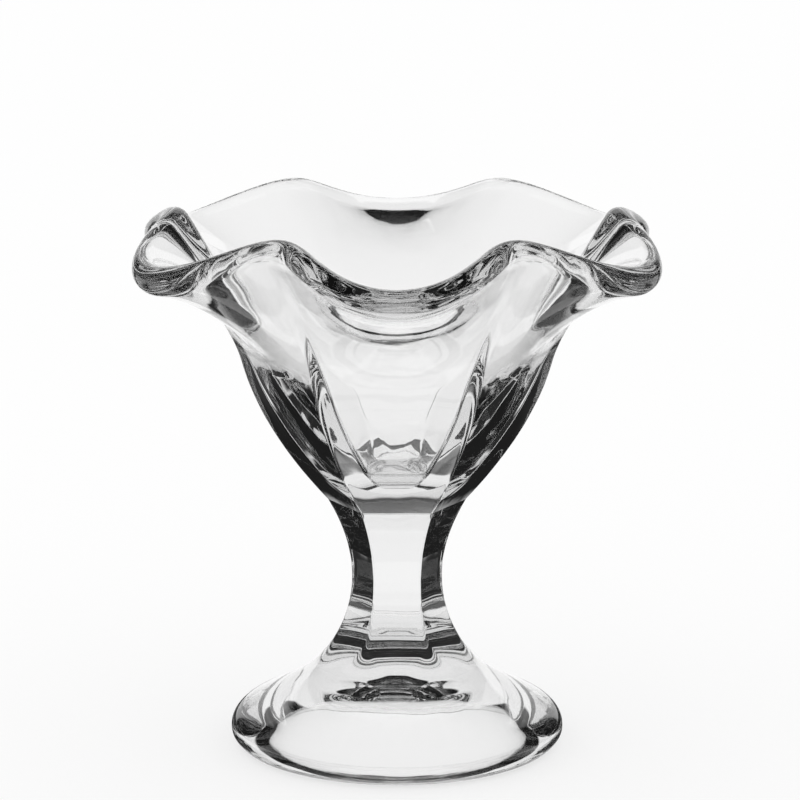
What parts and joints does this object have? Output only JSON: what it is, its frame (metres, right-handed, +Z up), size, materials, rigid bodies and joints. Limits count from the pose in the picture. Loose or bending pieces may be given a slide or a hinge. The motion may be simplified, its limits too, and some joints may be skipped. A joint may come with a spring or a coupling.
{
  "type": "parfait glass",
  "caption": "Clear pressed-glass parfait dish with a fluted bowl, a ruffled flaring rim, a fluted waisted stem and a round domed foot.",
  "frame": {"origin": "centre of the foot's resting ring, on the surface that the glass stands on", "axes": "+Z up the axis of the glass; a flat panel and a lip of the rim face -Y; corners between panels face +X and -X"},
  "size_m": [0.1122, 0.1232, 0.12],
  "materials": {
    "clear_glass": "fire-polished, clear and colourless"
  },
  "bodies": {
    "root": {"bowl": "clear_glass", "stem": "clear_glass", "foot": "clear_glass"}
  },
  "joints": []
}
